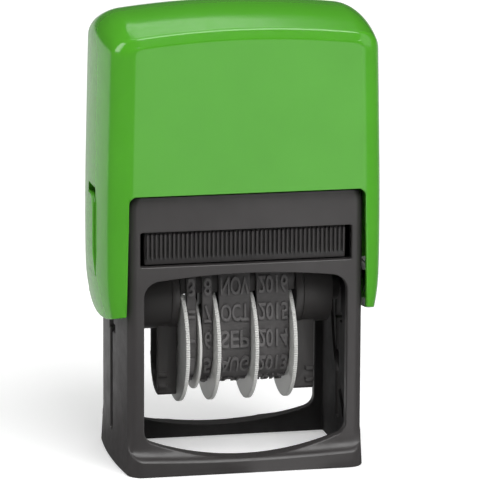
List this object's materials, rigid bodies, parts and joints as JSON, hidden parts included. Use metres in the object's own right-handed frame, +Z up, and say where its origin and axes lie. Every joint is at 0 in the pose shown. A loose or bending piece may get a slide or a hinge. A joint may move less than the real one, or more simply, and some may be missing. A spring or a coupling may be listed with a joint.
{
  "type": "self-inking date stamp",
  "caption": "Self-inking date stamp: pressing the sprung cap turns the carriage of date bands over, from the ink pad down to the paper.",
  "frame": {"origin": "centre of the base's underside, on the paper", "axes": "+Z up towards the crown of the cap, -Y towards the ribbed grip of the ink cartridge, +X to the right seen from there"},
  "size_m": [0.0646, 0.038, 0.1052],
  "materials": {
    "frame_plastic": "satin, moulded black",
    "tray_plastic": "satin, moulded black",
    "pad_felt": "inked felt",
    "cap_plastic": "glossy, moulded green",
    "carriage_plastic": "satin, moulded black",
    "disc_plastic": "satin, moulded pale grey",
    "band_rubber": "dull, moulded type",
    "steel": "drawn wire and turned rod"
  },
  "bodies": {
    "frame": {"frame_shell": "frame_plastic", "ink_cartridge": "tray_plastic", "ink_pad": "pad_felt", "return_spring": "steel"},
    "cap": {"cap_shell": "cap_plastic"},
    "left_button": {"lock_button_left": "cap_plastic"},
    "right_button": {"lock_button_right": "cap_plastic"},
    "carriage": {"carriage_arm_left": "carriage_plastic", "carriage_arm_right": "carriage_plastic", "type_bridge": "carriage_plastic", "wheel_axle": "steel", "axle_clip_left": "steel", "axle_clip_right": "steel", "separator_disc": "disc_plastic", "spacer_washer": "steel", "day_tens_band": "band_rubber", "day_units_band": "band_rubber", "month_band": "band_rubber", "year_band": "band_rubber"},
    "tens_dial": {"day_tens_wheel": "disc_plastic"},
    "units_dial": {"day_units_wheel": "disc_plastic"},
    "month_dial": {"month_wheel": "disc_plastic"},
    "year_dial": {"year_wheel": "disc_plastic"}
  },
  "joints": [
    {"name": "cap_press", "type": "slide", "parent": "frame", "child": "cap", "axis": [0, 0, -1], "range_m": [0, 0.029], "stiffness_N_per_m": 250, "springref_m": -0.02, "deforming": ["return_spring"]},
    {"name": "carriage_flip", "type": "hinge", "parent": "cap", "child": "carriage", "pos_m": [0, 0, 0.0385], "axis": [-1, 0, 0], "range_deg": [0, 180]},
    {"name": "left_lock", "type": "hinge", "parent": "cap", "child": "left_button", "pos_m": [-0.0314, 0, 0.04365], "axis": [0, 1, 0], "range_deg": [0, 4.5], "stiffness_Nm_per_rad": 0.1, "springref_deg": -1.72},
    {"name": "right_lock", "type": "hinge", "parent": "cap", "child": "right_button", "pos_m": [0.0314, 0, 0.04365], "axis": [0, -1, 0], "range_deg": [0, 4.5], "stiffness_Nm_per_rad": 0.1, "springref_deg": -1.72},
    {"name": "tens_turn", "type": "hinge", "parent": "carriage", "child": "tens_dial", "pos_m": [-0.011, 0, 0.027], "axis": [1, 0, 0], "continuous": true},
    {"name": "units_turn", "type": "hinge", "parent": "carriage", "child": "units_dial", "pos_m": [-0.007, 0, 0.027], "axis": [1, 0, 0], "continuous": true},
    {"name": "month_turn", "type": "hinge", "parent": "carriage", "child": "month_dial", "pos_m": [-0.001, 0, 0.027], "axis": [1, 0, 0], "continuous": true},
    {"name": "year_turn", "type": "hinge", "parent": "carriage", "child": "year_dial", "pos_m": [0.008, 0, 0.027], "axis": [1, 0, 0], "continuous": true}
  ],
  "couplings": [
    {"joint": "carriage_flip", "follows": "cap_press", "rad_per_m": 108.33}
  ]
}
